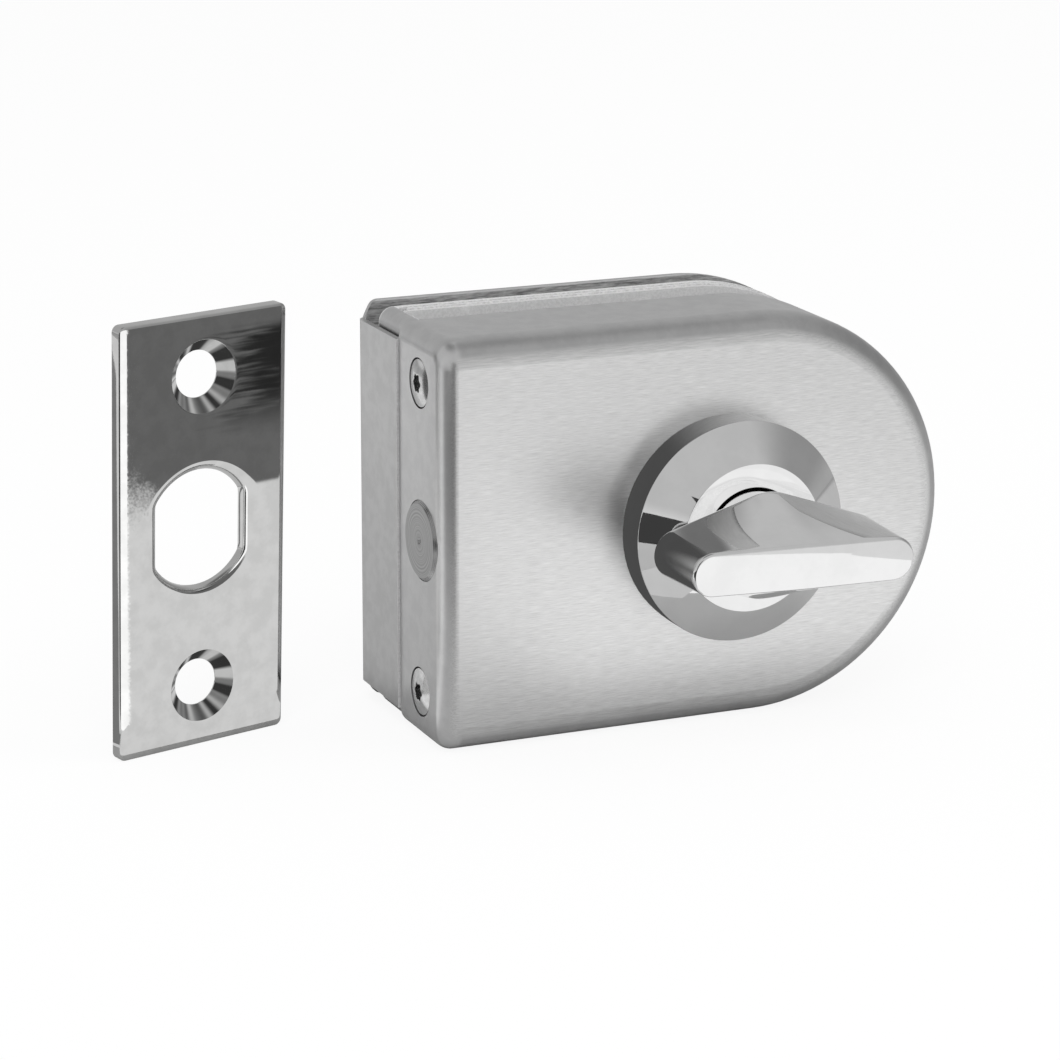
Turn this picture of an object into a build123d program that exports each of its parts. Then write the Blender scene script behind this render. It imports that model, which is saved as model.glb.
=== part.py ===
from build123d import *
import os
from math import asin, cos, radians, sin, sqrt

# Glass door lock: a C-shaped body that slides over the edge of a glass door, a round bolt thrown by a
# quarter turn of the thumb-turn, and the strike plate that takes the bolt.
#
# Millimetres. X runs along the front to the right, Y runs from the front to the back, Z is up.
# The origin is where the turn's axis meets the front face of the glass.

os.makedirs("parts", exist_ok=True)

# Driving dimensions of the lock
case_height = 70.0
case_length = 93.5
case_depth = 19.0
backset = 51.2
glass_thickness = 8.0
round_over = 4.6
left_edge_round = 3.0
front_wall = 1.8
side_wall = 3.4
cover_plate_thickness = 1.5
cover_ledge = 1.6
boss_height = 2.2
screw_post_radius = 3.5
bush_boss_radius = 11.0
rose_boss_radius = 3.2
left_wall = 3.5

# Gaskets and the clamp behind the glass
gasket_thickness = 0.6
gasket_inset = 0.4
edge_pad_thickness = 0.8
pressure_plate_thickness = 1.0
plate_inset = 0.1
leg_thickness = 2.0
leg_gap = 0.1
spine_thickness = 2.6
spine_inset = 1.0
spine_corner = 2.6
slot_end_round = 1.6
clamp_thread = 5.0
clamp_boss = 9.0
clamp_boss_height = 3.6

# Rear cover
sheet = 1.0
cover_depth = 17.9
flange_stand = 0.4
flange_half_height = 32.0
cover_corner = 1.8
ear_length = 2.6
bend_radius = 2.0
stud_diameter = 3.9
stud_length = 6.9
stud_foot = 3.0
stud_foot_height = 2.4
flange_front = -0.55
socket_hole = 3.5

# Bolt and its drive
bolt_diameter = 13.6
bolt_bore = 13.7
bolt_depth = 9.0
bolt_proud = 0.5
bolt_length = 27.7
throw = 15.0
tail_thickness = 3.4
tail_pin_radius = 1.25
roller_diameter = 5.0
crank_pin_radius = 2.0
slot_clearance = 0.6
rear_journal = 6.0
front_journal = 14.0
square = 7.0
running = 0.03

# Edge screws in the left face
edge_screw_spacing = 53.0
edge_screw_depth = 10.0
edge_head = 8.0
edge_recess = 8.5
recess_depth = 2.2
head_dome = 0.65
socket_width = 3.3
edge_shank = 1.95
edge_shank_length = 8.5

# Small countersunk screws of the cover plate and of the rose base
screw_shank = 2.9
screw_head = 5.5
screw_socket = 2.0
screw_pilot = 1.5
screw_clearance = 1.6
screw_sink = 2.85

# Rose and thumb-turn
rose_diameter = 37.9
rose_band = 6.2
rose_cone = 4.5
rose_flat = 25.2
rose_wall = 1.5
neck_diameter = 16.6
neck_gap = 0.3
wing_reach = 29.7
wing_length = 40.0
wing_height = 7.3
wing_depth = 14.5
wing_back_end = 4.2
wing_middle = 9.4
wing_back_length = 41.0
grub_diameter = 4.0

# Strike plate, standing beside the lock
strike_width = 32.5
strike_height = 73.8
strike_thickness = 2.5
strike_hole_spacing = 53.2
strike_hole = 8.0
strike_countersink = 12.6
strike_opening = 20.0
strike_flats = 17.0
strike_opening_up = 0.5
strike_opening_corner = 1.5
strike_rim = 1.6
strike_edge = 0.5
strike_corner = Vector(-101.15, -1.5, -35.0)
strike_turn = 15.5
strike_lean = 2.5

# Places worked out from the driving dimensions
half = case_height / 2
left_x = -backset
arc_x = left_x + case_length - half
housing_back = -gasket_thickness
front_y = housing_back - case_depth
cavity_front = front_y + front_wall
cavity_back = housing_back - cover_plate_thickness
bolt_y = front_y + bolt_depth
spine_x = left_x + spine_inset
slot_x = spine_x + spine_thickness
glass_edge = slot_x + edge_pad_thickness
glass_back = glass_thickness
pressure_front = glass_back + gasket_thickness
leg_front = pressure_front + pressure_plate_thickness + leg_gap
leg_back = leg_front + leg_thickness
saddle_x = left_x + left_wall
clamp_points = [(-38.0, 24.0), (-38.0, -24.0), (18.0, 22.0), (18.0, -22.0)]
stud_points = [(-22.0, 25.0), (-22.0, -25.0), (31.0, 0.0)]
cover_screw_points = [(-34.5, 28.2), (-34.5, -28.2), (22.0, 24.5), (22.0, -24.5)]
rose_screw_radius = 13.25
crank_radius = throw / sqrt(2)
pin_x = pin_z = throw / 2


def across(y):
    """The plane square to Y at depth y: its local axes are X and Z, and it faces the front."""
    return Plane.XZ.offset(-y)


def d_outline(y, inset=0.0, left=left_x, corner=0.0):
    """The lock's outline at depth y: a straight left end, flat top and bottom, and a half round."""
    top = half - inset
    with BuildSketch(across(y)) as outline:
        with BuildLine():
            Line((left, -top), (arc_x, -top))
            ThreePointArc((arc_x, -top), (arc_x + top, 0), (arc_x, top))
            Line((arc_x, top), (left, top))
            Line((left, top), (left, -top))
        make_face()
        if corner:
            fillet(outline.vertices().group_by(Axis.X)[0], corner)
    return outline.sketch


def turned(points):
    """The half section of a turned piece, as points of radius and depth, to be turned about Y."""
    with BuildSketch(Plane.XY) as section:
        with BuildLine():
            Polyline(*points, close=True)
        make_face()
    return section.sketch


# Lock body: front housing with a full round-over, spine past the glass edge, and rear leg
boss_back = cavity_front + boss_height
front_bush_diameter = 17.0
with BuildPart() as lock_body:
    extrude(d_outline(housing_back), amount=case_depth)
    front_face = lock_body.faces().sort_by(Axis.Y)[0]
    fillet(front_face.edges().sort_by(Axis.X)[1:], round_over)
    left_face = lock_body.faces().sort_by(Axis.X)[0]
    fillet(left_face.edges().sort_by(Axis.Y)[:-1], left_edge_round)
    # Mechanism cavity, with a ledge for its cover
    extrude(
        d_outline(housing_back, cover_ledge, left_x + cover_ledge),
        amount=cover_plate_thickness,
        mode=Mode.SUBTRACT,
    )
    extrude(
        d_outline(cavity_back, side_wall, saddle_x),
        amount=cavity_back - cavity_front,
        mode=Mode.SUBTRACT,
    )
    # Posts for the cover's screws, bosses for the rose's screws and for the front bush
    with BuildSketch(across(cavity_front)):
        with Locations(*cover_screw_points):
            Circle(screw_post_radius)
    extrude(amount=-(cavity_back - cavity_front))
    with BuildSketch(across(cavity_front)):
        Circle(bush_boss_radius)
        with Locations((0, rose_screw_radius), (0, -rose_screw_radius)):
            Circle(rose_boss_radius)
    extrude(amount=-(boss_back - cavity_front))
    # Spine and rear leg, one D-shaped block cut by the slot for the glass
    extrude(d_outline(housing_back, 0.0, spine_x, spine_corner), amount=-(leg_back - housing_back))
    rear_face = lock_body.faces().sort_by(Axis.Y)[-1]
    fillet(rear_face.edges(), 0.8)
    with BuildSketch(Plane.XY.offset(-half - 1)):
        with Locations((slot_x, housing_back)):
            Rectangle(case_length, leg_front - housing_back, align=(Align.MIN, Align.MIN))
    extrude(amount=case_height + 2, mode=Mode.SUBTRACT)
    upright_edges = lock_body.edges().filter_by(Axis.Z)
    fillet(upright_edges.sort_by_distance((slot_x, leg_front, 0))[0], slot_end_round)
    # Clamp screw bosses on the leg, with their threaded holes, and the holes for the stud sockets
    with BuildSketch(across(leg_back)):
        with Locations(*clamp_points):
            Circle(clamp_boss / 2)
    extrude(amount=-clamp_boss_height)
    with BuildSketch(across(leg_front)):
        with Locations(*clamp_points):
            Circle(clamp_thread / 2 + 0.05)
        with Locations(*stud_points):
            Circle(socket_hole)
    extrude(amount=-(leg_thickness + clamp_boss_height), mode=Mode.SUBTRACT)
    # Screw holes for the cover plate and the rose, and the bore for the front bush
    with BuildSketch(across(cavity_back)):
        with Locations(*cover_screw_points):
            Circle(screw_pilot)
    extrude(amount=8.0, mode=Mode.SUBTRACT)
    with BuildSketch(across(front_y)):
        Circle(front_bush_diameter / 2)
        with Locations((0, rose_screw_radius), (0, -rose_screw_radius)):
            Circle(screw_pilot)
    extrude(amount=-(boss_back - front_y), mode=Mode.SUBTRACT)
    # Left wall: bolt hole and the recessed holes of the edge screws
    with Locations(Plane(origin=(left_x, bolt_y, 0), z_dir=(-1, 0, 0))):
        Hole(bolt_bore / 2, depth=left_wall)
    for screw_z in (-edge_screw_spacing / 2, edge_screw_spacing / 2):
        with Locations(Plane(origin=(left_x, front_y + edge_screw_depth, screw_z), z_dir=(-1, 0, 0))):
            CounterBoreHole(edge_shank + 0.15, edge_recess / 2, recess_depth, depth=left_wall)

# Plate that closes the mechanism on the glass side
rear_bush_diameter = 9.0
with BuildPart() as mechanism_cover:
    extrude(
        d_outline(housing_back, cover_ledge + 0.1, left_x + cover_ledge + 0.1),
        amount=cover_plate_thickness,
    )
    with Locations(Plane(origin=(0, housing_back, 0), z_dir=(0, 1, 0))):
        Hole(rear_bush_diameter / 2, depth=cover_plate_thickness)
    for x, z in cover_screw_points:
        with Locations(Plane(origin=(x, housing_back, z), z_dir=(0, 1, 0))):
            CounterSinkHole(
                screw_clearance, screw_sink, depth=cover_plate_thickness, counter_sink_angle=90
            )


def countersunk_screw(place, length):
    """A countersunk screw whose flat head faces along the plane's normal, with a hexagon socket."""
    with BuildPart() as screw:
        with BuildSketch(place):
            Circle(screw_head / 2)
        extrude(amount=-(screw_head - screw_shank) / 2, taper=45)
        with BuildSketch(place):
            Circle(screw_shank / 2)
        extrude(amount=-length)
        with BuildSketch(place):
            RegularPolygon(screw_socket / 2, 6, major_radius=False)
        extrude(amount=-1.0, mode=Mode.SUBTRACT)
        chamfer(screw.faces().sort_by(Axis(place.origin, place.z_dir))[0].edges(), 0.3)
    return screw.part


with BuildPart() as cover_screws:
    for x, z in cover_screw_points:
        add(countersunk_screw(Plane(origin=(x, housing_back, z), z_dir=(0, 1, 0)), 7.0))

# Soft pieces round the glass
with BuildPart() as front_gasket:
    extrude(d_outline(0, gasket_inset, glass_edge), amount=gasket_thickness)

with BuildPart() as edge_pad:
    with BuildSketch(Plane.XY.offset(gasket_inset - half)):
        with Locations((slot_x, 0)):
            Rectangle(edge_pad_thickness, glass_thickness, align=(Align.MIN, Align.MIN))
    extrude(amount=case_height - 2 * gasket_inset)

with BuildPart() as rear_pad:
    extrude(d_outline(pressure_front, gasket_inset, glass_edge), amount=gasket_thickness)

# Pressure plate and the grub screws that push it against the pad
with BuildPart() as pressure_plate:
    extrude(
        d_outline(leg_front - leg_gap, plate_inset, slot_x + slot_end_round + plate_inset, 0.5),
        amount=pressure_plate_thickness,
    )

screw_tip = pressure_front + pressure_plate_thickness
screw_end = leg_back + clamp_boss_height - 0.2
with BuildPart() as clamp_screws:
    with BuildSketch(across(screw_tip)):
        with Locations(*clamp_points):
            Circle(clamp_thread / 2)
    extrude(amount=-(screw_end - screw_tip))
    chamfer(clamp_screws.edges().filter_by(GeomType.CIRCLE), 0.5)
    with BuildSketch(across(screw_end)):
        with Locations(*clamp_points):
            RegularPolygon(1.25, 6, major_radius=False)
    extrude(amount=2.6, mode=Mode.SUBTRACT)

# Thin rear cover: a D-shaped plate with its left side bent forward as a flange, and three push-in studs
cover_x = left_x - flange_stand
stud_back = cover_depth - sheet
with BuildPart() as rear_cover:
    with BuildSketch(Plane.XY.offset(-half)):
        with BuildLine():
            FilletPolyline(
                (cover_x, flange_front),
                (cover_x, cover_depth),
                (arc_x + half, cover_depth),
                radius=bend_radius,
            )
            offset(amount=sheet, side=Side.RIGHT, closed=True)
        make_face()
    extrude(amount=case_height)
    extrude(d_outline(cover_depth, 0.0, cover_x), amount=cover_depth - flange_front, mode=Mode.INTERSECT)
    with BuildSketch(across(cover_depth)):
        for side in (1, -1):
            with BuildLine():
                Polyline(
                    (cover_x, side * flange_half_height),
                    (cover_x + sheet, side * flange_half_height),
                    (cover_x + ear_length, side * half),
                    (cover_x, side * half),
                    close=True,
                )
            make_face()
    extrude(amount=cover_depth - flange_front, mode=Mode.SUBTRACT)
    plate_corners = rear_cover.edges().filter_by(Axis.Y).group_by(SortBy.LENGTH)[0]
    fillet(plate_corners.filter_by(lambda e: abs(e.center().Z) > half - 0.1), cover_corner)
    for x, z in stud_points:
        with Locations(Plane(origin=(x, stud_back, z), z_dir=(0, -1, 0))):
            Cylinder(stud_foot, stud_foot_height, align=(Align.CENTER, Align.CENTER, Align.MIN))
            Cylinder(stud_diameter / 2, stud_length, align=(Align.CENTER, Align.CENTER, Align.MIN))

with BuildPart() as stud_sockets:
    for x, z in stud_points:
        with Locations(Plane(origin=(x, leg_front + 0.05, z), z_dir=(0, 1, 0))):
            Cylinder(socket_hole - 0.05, leg_thickness - 0.05, align=(Align.CENTER, Align.CENTER, Align.MIN))
        with Locations(Plane(origin=(x, leg_back, z), z_dir=(0, 1, 0))):
            Cylinder(4.6, 1.0, align=(Align.CENTER, Align.CENTER, Align.MIN))
            Hole(stud_diameter / 2 + 0.05)

# Bolt: round head with a turned face, milled at the back for its flat tail
bolt_front = left_x - bolt_proud
bolt_back = bolt_front + bolt_length
tail_front = cavity_front + 6.8
tail_back = tail_front + tail_thickness
tail_root = bolt_back - 10.0
tail_pin_points = [(bolt_back - 7.0, 0), (bolt_back - 3.0, 0)]
with BuildPart() as bolt:
    with Locations(Plane(origin=(bolt_front, bolt_y, 0), z_dir=(1, 0, 0))):
        Cylinder(bolt_diameter / 2, bolt_length, align=(Align.CENTER, Align.CENTER, Align.MIN))
    chamfer(bolt.faces().sort_by(Axis.X)[0].edges(), 0.6)
    chamfer(bolt.faces().sort_by(Axis.X)[-1].edges(), 0.4)
    with Locations(Plane(origin=(bolt_front, bolt_y, 0), z_dir=(-1, 0, 0))):
        CounterSinkHole(0.35, 0.7, depth=0.8, counter_sink_angle=90)
    with BuildSketch(across(tail_back + running)):
        with Locations((tail_root - running, 0)):
            Rectangle(12, bolt_diameter, align=(Align.MIN, Align.CENTER))
    extrude(amount=tail_thickness + 2 * running, mode=Mode.SUBTRACT)
    with BuildSketch(across(housing_back)):
        with Locations(*tail_pin_points):
            Circle(tail_pin_radius)
    extrude(amount=case_depth, mode=Mode.SUBTRACT)

# Flat tail: a level slot rides on the follower's rear journal, an upright slot takes the crank's roller
journal_slot = rear_journal + 0.8
roller_slot = roller_diameter + 2 * slot_clearance
pin_top = crank_radius + roller_diameter / 2 + slot_clearance
pin_bottom = pin_z - roller_diameter / 2 - 0.4
with BuildPart() as bolt_tail:
    with BuildSketch(across(tail_back)) as tail_outline:
        with Locations((tail_root, 0)):
            Rectangle(throw + journal_slot / 2 + 3 - tail_root, 11.0, align=(Align.MIN, Align.CENTER))
        with Locations((pin_x, 0)):
            Rectangle(roller_slot + 6, pin_top + 3, align=(Align.CENTER, Align.MIN))
        fillet(tail_outline.vertices(), 1.5)
        with Locations((throw / 2, 0)):
            SlotCenterToCenter(throw, journal_slot, mode=Mode.SUBTRACT)
        with Locations((pin_x, pin_bottom)):
            Rectangle(
                roller_slot, pin_top - pin_bottom, align=(Align.CENTER, Align.MIN), mode=Mode.SUBTRACT
            )
        with Locations(*tail_pin_points):
            Circle(tail_pin_radius, mode=Mode.SUBTRACT)
    extrude(amount=tail_thickness)

with BuildPart() as tail_pins:
    with BuildSketch(across(bolt_y + bolt_diameter / 2 - 0.7)):
        with Locations(*tail_pin_points):
            Circle(tail_pin_radius)
    extrude(amount=bolt_diameter - 1.4)

# Saddle behind the left wall: carries the bolt from behind and takes the edge screws
saddle_length = 8.0
with BuildPart() as bolt_saddle:
    with BuildSketch(across(cavity_back)) as saddle_outline:
        with Locations((saddle_x, 0)):
            Rectangle(saddle_length, case_height - 2 * side_wall, align=(Align.MIN, Align.CENTER))
        fillet(saddle_outline.vertices().group_by(Axis.X)[-1], 1.0)
    extrude(amount=cavity_back - cavity_front)
    saddle_end = Plane(origin=(saddle_x, bolt_y, 0), z_dir=(-1, 0, 0))
    with Locations(saddle_end):
        Hole(bolt_bore / 2, depth=saddle_length)
    with BuildSketch(Plane.XY.offset(-bolt_bore / 2)):
        with Locations((saddle_x, bolt_y)):
            Rectangle(saddle_length, bolt_y - cavity_front, align=(Align.MIN, Align.MAX))
    extrude(amount=bolt_bore, mode=Mode.SUBTRACT)
    for screw_z in (-edge_screw_spacing / 2, edge_screw_spacing / 2):
        with Locations(Plane(origin=(saddle_x, front_y + edge_screw_depth, screw_z), z_dir=(-1, 0, 0))):
            Hole(edge_shank + 0.05, depth=saddle_length - 0.5)

# Edge screws: domed heads with six-lobed sockets, standing in their round recesses
dome_radius = (edge_head**2 / 4 + head_dome**2) / (2 * head_dome)
shank_end = recess_depth + edge_shank_length
with BuildPart() as edge_screws:
    for screw_z in (-edge_screw_spacing / 2, edge_screw_spacing / 2):
        face = Plane(
            origin=(left_x, front_y + edge_screw_depth, screw_z), x_dir=(0, -1, 0), z_dir=(-1, 0, 0)
        )
        with BuildPart(mode=Mode.PRIVATE) as screw:
            with BuildSketch(Plane.XZ):
                with BuildLine():
                    Line((0, -shank_end), (edge_shank, -shank_end))
                    Line((edge_shank, -shank_end), (edge_shank, -recess_depth))
                    Line((edge_shank, -recess_depth), (edge_head / 2, -recess_depth))
                    Line((edge_head / 2, -recess_depth), (edge_head / 2, -0.1))
                    RadiusArc((edge_head / 2, -0.1), (0, head_dome - 0.1), -dome_radius)
                    Line((0, head_dome - 0.1), (0, -shank_end))
                make_face()
            revolve(axis=Axis.Z)
            chamfer(screw.faces().sort_by(Axis.Z)[0].edges(), 0.5)
            with BuildSketch(Plane.XY.offset(1)):
                Circle(socket_width * 0.4)
                with PolarLocations(socket_width * 0.36, 6):
                    Circle(socket_width * 0.14)
            extrude(amount=-2.6, mode=Mode.SUBTRACT)
        add(screw.part.moved(face.location))

# Follower: front journal in the body, crank disc behind it, rear journal in the cover plate
disc_front = boss_back + 0.3
disc_back = tail_front - 0.5
disc_radius = 10.0
pin_depth = disc_back - disc_front - 0.8
journal_tip = front_y - 2.0
circlip_back = front_y - 0.2
circlip_thickness = 1.0
circlip_radius = 8.1
circlip_groove = 0.45
with BuildPart() as follower:
    with BuildSketch(across(disc_back)):
        Circle(disc_radius)
        with Locations((pin_x, pin_z)):
            Circle(4.0)
        make_hull()
    extrude(amount=disc_back - disc_front)
    fillet(follower.edges().filter_by(Axis.Y, reverse=True), 0.4)
    with BuildSketch(across(disc_front)):
        Circle(front_journal / 2)
    extrude(amount=disc_front - journal_tip)
    with BuildSketch(across(disc_back)):
        Circle(rear_journal / 2)
    extrude(amount=-(housing_back - 0.4 - disc_back))
    revolve(
        turned(
            [
                (front_journal / 2 - 0.5, circlip_back + 0.03),
                (front_journal / 2 + 1, circlip_back + 0.03),
                (front_journal / 2 + 1, circlip_back - circlip_thickness - 0.03),
                (front_journal / 2 - 0.5, circlip_back - circlip_thickness - 0.03),
            ]
        ),
        axis=Axis.Y,
        mode=Mode.SUBTRACT,
    )
    with BuildSketch(across(journal_tip)):
        Rectangle(square + 2 * running, square + 2 * running)
    extrude(amount=-(disc_back - journal_tip - 1.2), mode=Mode.SUBTRACT)
    with BuildSketch(across(disc_back)):
        with Locations((pin_x, pin_z)):
            Circle(crank_pin_radius)
    extrude(amount=pin_depth, mode=Mode.SUBTRACT)

with BuildPart() as crank_pin:
    with BuildSketch(across(tail_back + 0.7)):
        with Locations((pin_x, pin_z)):
            Circle(crank_pin_radius)
    extrude(amount=tail_back + 0.7 - disc_back + pin_depth)
    chamfer(crank_pin.edges().filter_by(GeomType.CIRCLE), 0.3)

with BuildPart() as pin_roller:
    with BuildSketch(across(tail_back + 0.2)):
        with Locations((pin_x, pin_z)):
            Circle(roller_diameter / 2)
            Circle(crank_pin_radius + running, mode=Mode.SUBTRACT)
    extrude(amount=tail_back + 0.2 - disc_back - 0.1)

with BuildPart() as follower_circlip:
    with BuildSketch(across(circlip_back)):
        Circle(circlip_radius)
        Circle(front_journal / 2 - circlip_groove, mode=Mode.SUBTRACT)
        with Locations((0, -8)):
            Rectangle(3.2, 8, mode=Mode.SUBTRACT)
    extrude(amount=circlip_thickness)
    fillet(follower_circlip.edges().filter_by(Axis.Y), 0.5)

# Bearings of the follower
with BuildPart() as front_bush:
    with BuildSketch(across(front_y)):
        Circle(front_bush_diameter / 2)
        Circle(front_journal / 2 + running, mode=Mode.SUBTRACT)
    extrude(amount=-(boss_back - front_y))

with BuildPart() as rear_bush:
    bush_radius = rear_journal / 2 + running
    revolve(
        turned(
            [
                (bush_radius, housing_back - 0.1),
                (rear_bush_diameter / 2, housing_back - 0.1),
                (rear_bush_diameter / 2, cavity_back),
                (6.0, cavity_back),
                (6.0, cavity_back - 0.8),
                (bush_radius, cavity_back - 0.8),
            ]
        ),
        axis=Axis.Y,
    )

# Rose base: ring held on the body by two countersunk screws, inside the rose
base_outer = rose_diameter / 2 - rose_wall - 0.1
base_inner = neck_diameter / 2 + neck_gap
base_front = front_y - 4.0
with BuildPart() as rose_base:
    with BuildSketch(across(front_y)):
        Circle(base_outer)
        Circle(base_inner, mode=Mode.SUBTRACT)
    extrude(amount=front_y - base_front)
    for screw_z in (-rose_screw_radius, rose_screw_radius):
        with Locations(Plane(origin=(0, base_front, screw_z), z_dir=(0, -1, 0))):
            CounterSinkHole(
                screw_clearance, screw_sink, depth=front_y - base_front, counter_sink_angle=90
            )

with BuildPart() as rose_screws:
    for screw_z in (-rose_screw_radius, rose_screw_radius):
        face = Plane(origin=(0, base_front, screw_z), z_dir=(0, -1, 0))
        add(countersunk_screw(face, boss_back - base_front - 0.2))

# Rose: thin turned shell, a cylindrical band, a cone, and a flat face round the neck
band_front = front_y - rose_band
rose_front = band_front - rose_cone
outer = rose_diameter / 2
with BuildPart() as rose:
    revolve(
        turned(
            [
                (outer, front_y),
                (outer, band_front),
                (rose_flat / 2, rose_front),
                (base_inner, rose_front),
                (base_inner, rose_front + rose_wall),
                (rose_flat / 2 - 0.3, rose_front + rose_wall),
                (outer - rose_wall, band_front + 0.9),
                (outer - rose_wall, front_y),
            ]
        ),
        axis=Axis.Y,
    )
    fillet(rose.edges().filter_by(lambda e: abs(e.center().Y - band_front) < 0.01), 0.35)
    fillet(rose.edges().filter_by(lambda e: abs(e.center().Y - rose_front) < 0.01), 0.25)

# Thumb-turn: a wing lofted from a slim front to a swelling back, on a round neck
wing_front = front_y - wing_reach
wing_back = wing_front + wing_depth
neck_radius = neck_diameter / 2
neck_end = journal_tip - 0.4


def wing_section(y, end_radius, middle_radius, length):
    """Rounded ends joined over the middle by straight flanks that touch a circle there."""
    centre = length / 2 - end_radius
    lean = asin((middle_radius - end_radius) / centre)
    end = (centre + end_radius * sin(lean), end_radius * cos(lean))
    shoulder = (middle_radius * sin(lean), middle_radius * cos(lean))
    along = (cos(lean), sin(lean))
    with BuildSketch(across(y)) as section:
        with BuildLine():
            for side in (1, -1):
                Spline(
                    (-end[0], side * end[1]),
                    (-(end[0] + shoulder[0]) / 2, side * (end[1] + shoulder[1]) / 2),
                    (-shoulder[0], side * shoulder[1]),
                    (0, side * middle_radius),
                    (shoulder[0], side * shoulder[1]),
                    ((end[0] + shoulder[0]) / 2, side * (end[1] + shoulder[1]) / 2),
                    (end[0], side * end[1]),
                    tangents=((along[0], side * along[1]), (along[0], -side * along[1])),
                )
                ThreePointArc(
                    (side * end[0], end[1]), (side * length / 2, 0), (side * end[0], -end[1])
                )
        make_face()
    return section.sketch


with BuildPart() as thumbturn:
    loft(
        sections=[
            wing_section(wing_front, wing_height / 2, wing_height / 2 + 0.02, wing_length),
            wing_section(wing_back, wing_back_end, wing_middle, wing_back_length),
        ],
        ruled=True,
    )
    fillet(thumbturn.faces().sort_by(Axis.Y)[0].edges(), 0.5)
    fillet(thumbturn.faces().sort_by(Axis.Y)[-1].edges(), 0.8)
    with BuildSketch(across(neck_end)):
        Circle(neck_radius)
    extrude(amount=neck_end - wing_back + 0.35)
    with BuildSketch(across(neck_end)):
        Rectangle(square + 2 * running, square + 2 * running)
    extrude(amount=neck_end - wing_front - 5.0, mode=Mode.SUBTRACT)
    with BuildSketch(Plane.XY.offset(-neck_radius - 1)):
        with Locations((0, (wing_back + rose_front) / 2)):
            Circle(grub_diameter / 2 + 0.05)
    extrude(amount=neck_radius + 1, mode=Mode.SUBTRACT)

with BuildPart() as turn_spindle:
    with BuildSketch(across(wing_front + 5.4)):
        Rectangle(square, square)
    extrude(amount=-(disc_back - 1.6 - wing_front - 5.4))
    chamfer(turn_spindle.faces().filter_by(Axis.Y).edges(), 0.5)

with BuildPart() as grub_screw:
    with BuildSketch(Plane.XY.offset(-neck_radius + 0.5)):
        with Locations((0, (wing_back + rose_front) / 2)):
            Circle(grub_diameter / 2)
    extrude(amount=neck_radius - 0.5 - square / 2)
    chamfer(grub_screw.edges().filter_by(GeomType.CIRCLE), 0.4)
    with BuildSketch(Plane.XY.offset(-neck_radius + 0.5)):
        with Locations((0, (wing_back + rose_front) / 2)):
            RegularPolygon(1.0, 6, major_radius=False)
    extrude(amount=2.0, mode=Mode.SUBTRACT)

# Wave washer between the neck and the circlip gives the turn its drag
washer_back = circlip_back - circlip_thickness
with BuildPart() as wave_washer:
    with BuildSketch(across(washer_back - 0.1)):
        Circle(circlip_radius)
        Circle(front_journal / 2 + 0.3, mode=Mode.SUBTRACT)
    extrude(amount=0.4)

# Strike plate: two countersunk holes and a round opening with flats, its rim rolled over
turn = radians(strike_turn)
lean = radians(strike_lean)
strike_right = Vector(cos(turn), sin(turn), 0)
strike_normal = Vector(sin(turn) * cos(lean), -cos(turn) * cos(lean), -sin(lean))
strike_face = Plane(origin=strike_corner, x_dir=strike_right, z_dir=strike_normal)
with BuildPart() as strike_plate:
    with BuildSketch(strike_face):
        with Locations((strike_width / 2, strike_height / 2)):
            RectangleRounded(strike_width, strike_height, 1.2)
    extrude(amount=-strike_thickness)
    with BuildSketch(strike_face) as opening:
        with Locations((strike_width / 2, strike_height / 2 + strike_opening_up)):
            Circle(strike_opening / 2)
            Rectangle(strike_flats, strike_opening, mode=Mode.INTERSECT)
        fillet(opening.vertices(), strike_opening_corner)
    extrude(amount=-strike_thickness, mode=Mode.SUBTRACT)
    front = strike_plate.faces().sort_by(Axis((0, 0, 0), strike_normal))[-1]
    fillet(front.inner_wires()[0].edges(), strike_rim)
    front = strike_plate.faces().sort_by(Axis((0, 0, 0), strike_normal))[-1]
    fillet(front.outer_wire().edges(), strike_edge)
    for side in (1, -1):
        spot = (strike_width / 2, strike_height / 2 + side * strike_hole_spacing / 2)
        with Locations(strike_face.location * Location(spot)):
            CounterSinkHole(
                strike_hole / 2, strike_countersink / 2, depth=strike_thickness, counter_sink_angle=90
            )

pieces = {
    "lock_body": lock_body,
    "mechanism_cover": mechanism_cover,
    "cover_screws": cover_screws,
    "front_gasket": front_gasket,
    "edge_pad": edge_pad,
    "rear_pad": rear_pad,
    "pressure_plate": pressure_plate,
    "clamp_screws": clamp_screws,
    "rear_cover": rear_cover,
    "stud_sockets": stud_sockets,
    "bolt": bolt,
    "bolt_tail": bolt_tail,
    "tail_pins": tail_pins,
    "bolt_saddle": bolt_saddle,
    "edge_screws": edge_screws,
    "follower": follower,
    "crank_pin": crank_pin,
    "pin_roller": pin_roller,
    "follower_circlip": follower_circlip,
    "front_bush": front_bush,
    "rear_bush": rear_bush,
    "rose_base": rose_base,
    "rose_screws": rose_screws,
    "rose": rose,
    "thumbturn": thumbturn,
    "turn_spindle": turn_spindle,
    "grub_screw": grub_screw,
    "wave_washer": wave_washer,
    "strike_plate": strike_plate,
}
for name, piece in pieces.items():
    piece.part.label = name
    export_step(piece.part, f"parts/{name}.step")
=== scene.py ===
from math import cos, radians, sin

import bpy
import numpy as np
from mathutils import Matrix, Vector


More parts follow.
